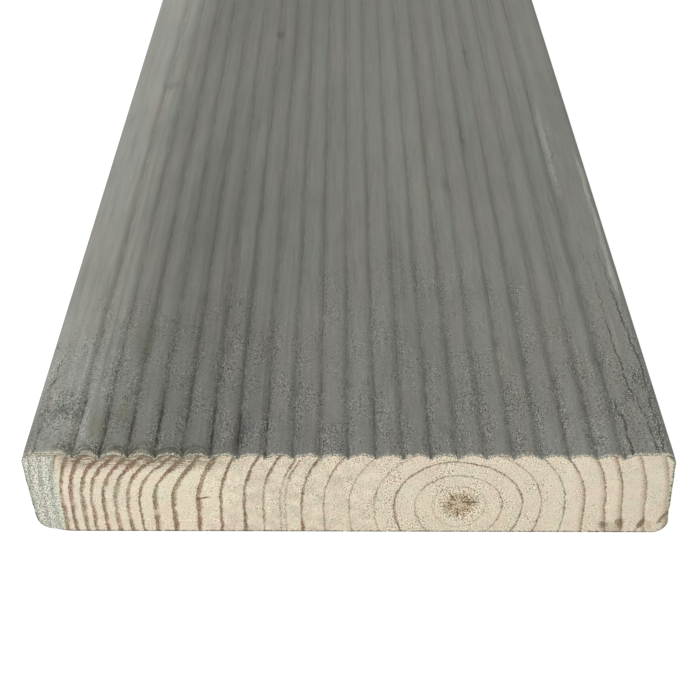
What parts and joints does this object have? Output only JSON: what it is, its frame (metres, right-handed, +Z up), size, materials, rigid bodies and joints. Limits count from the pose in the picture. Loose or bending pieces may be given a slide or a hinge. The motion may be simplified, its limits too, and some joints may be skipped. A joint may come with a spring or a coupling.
{
  "type": "decking board",
  "caption": "Softwood plank with a reeded walking face, flat margins and rounded edges, laid across joists beside others like it to make an outdoor floor.",
  "frame": {"origin": "middle of the board's box at the underside that it rests on", "axes": "+Z up, out of the reeded walking face; +Y along the board, away from the freshly sawn end; +X across it, to the right seen from that end"},
  "size_m": [0.1458, 1.8, 0.024],
  "materials": {
    "softwood": "matt weathered grey stain, with freshly sawn pale end grain at one end"
  },
  "bodies": {
    "root": {"decking_board": "softwood"}
  },
  "joints": []
}
